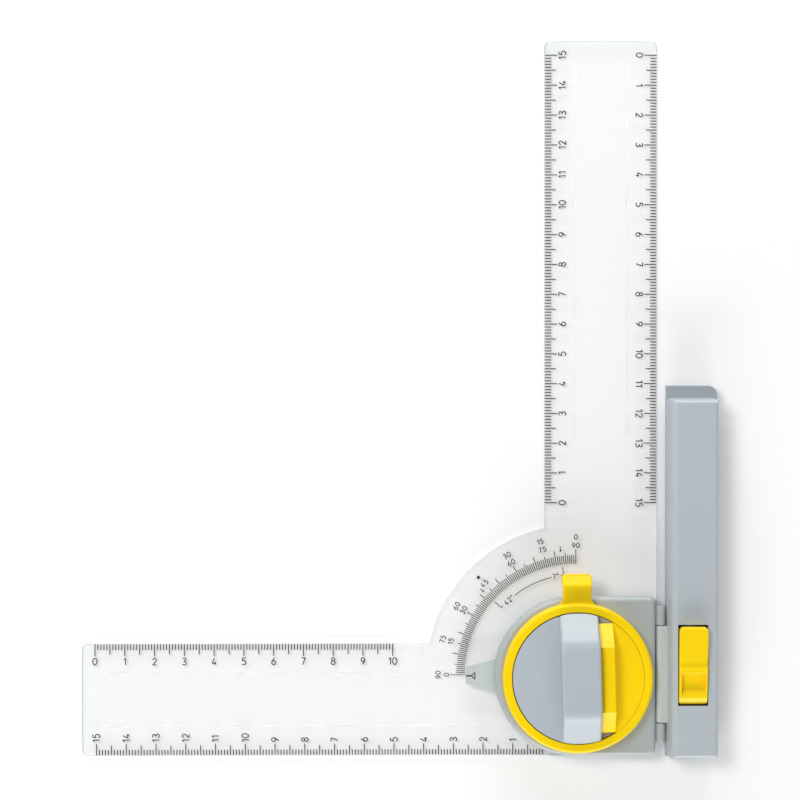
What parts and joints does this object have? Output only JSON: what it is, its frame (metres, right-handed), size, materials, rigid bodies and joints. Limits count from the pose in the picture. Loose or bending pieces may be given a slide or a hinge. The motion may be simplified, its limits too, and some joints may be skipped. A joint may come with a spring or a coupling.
{
  "type": "drafting head",
  "caption": "Drafting head: a clear L-shaped square with scales turns under a locking knob, hinged to a guide bar with a sliding tongue and a brake.",
  "frame": {"origin": "the point where the turning axis of the square meets the paper, in the middle of the hub plate's underside", "axes": "+X to the right, across the hinge and guide bar; +Y up the board, along the guide bar and the upright arm; +Z away from the paper, along the turning axis"},
  "size_m": [0.2128, 0.2397, 0.0215],
  "materials": {
    "grey_plastic": "fine satin, injection moulded",
    "shoe_plastic": "satin, slippery",
    "pointer_plastic": "satin",
    "yellow_plastic": "soft gloss, injection moulded",
    "slide_plastic": "smooth, slippery",
    "pad_rubber": "matte",
    "clear_acrylic": "clear, polished",
    "hub_aluminium": "turned",
    "bush_brass": "turned",
    "pin_steel": "ground",
    "spring_steel": "rolled strip",
    "screw_steel": "zinc plated"
  },
  "bodies": {
    "guide": {"guide_shoe": "shoe_plastic", "guide_cover": "grey_plastic", "cover_screws": "screw_steel", "hinge_knuckle": "grey_plastic", "knuckle_screws": "screw_steel", "rocker_pin": "pin_steel", "brake_spring": "spring_steel"},
    "rocker": {"brake_rocker": "yellow_plastic"},
    "plunger": {"brake_plunger": "slide_plastic", "brake_pad": "pad_rubber"},
    "head": {"head_base": "grey_plastic", "index_pointer": "pointer_plastic", "pointer_screws": "screw_steel", "hinge_pin": "pin_steel", "bearing_bush": "bush_brass", "slide_washer": "slide_plastic", "detent_ring": "pin_steel", "detent_screws": "screw_steel"},
    "ring": {"lock_ring": "yellow_plastic"},
    "clamp": {"clamp_slider": "slide_plastic"},
    "square": {"drafting_square": "clear_acrylic", "hub": "hub_aluminium", "hub_plate": "hub_aluminium", "hub_screws": "screw_steel", "thrust_spring": "spring_steel", "knob": "grey_plastic", "lever_spring": "spring_steel"},
    "lever": {"release_lever": "yellow_plastic", "detent_pawl": "pin_steel", "pawl_screws": "screw_steel"}
  },
  "joints": [
    {"name": "head_tilt", "type": "hinge", "parent": "guide", "child": "head", "pos_m": [0.0281, 0.0007, 0.0065], "axis": [0, 1, 0], "range_deg": [0, 40]},
    {"name": "square_turn", "type": "hinge", "parent": "head", "child": "square", "pos_m": [0, 0, 0], "axis": [0, 0, 1], "range_deg": [0, 90]},
    {"name": "ring_turn", "type": "hinge", "parent": "head", "child": "ring", "pos_m": [0, 0, 0.0082], "axis": [0, 0, 1], "range_deg": [-35, 0]},
    {"name": "clamp_slide", "type": "slide", "parent": "head", "child": "clamp", "axis": [0.7071, 0.7071, 0], "range_m": [0, 0.0004]},
    {"name": "lever_press", "type": "slide", "parent": "square", "child": "lever", "axis": [-0.9997, -0.0262, 0], "range_m": [0, 0.0022], "stiffness_N_per_m": 200, "springref_m": -0.002, "deforming": ["lever_spring"]},
    {"name": "rocker_press", "type": "hinge", "parent": "guide", "child": "rocker", "pos_m": [0.038, 0.0048, 0.0112], "axis": [-1, 0, 0], "range_deg": [0, 6]},
    {"name": "plunger_press", "type": "slide", "parent": "guide", "child": "plunger", "axis": [0, 0, -1], "range_m": [0, 0.00094], "stiffness_N_per_m": 5, "springref_m": -0.0008, "deforming": ["brake_spring"]}
  ],
  "couplings": [
    {"joint": "clamp_slide", "follows": "ring_turn", "m_per_rad": -0.00065481},
    {"joint": "rocker_press", "follows": "plunger_press", "rad_per_m": 111.1}
  ]
}
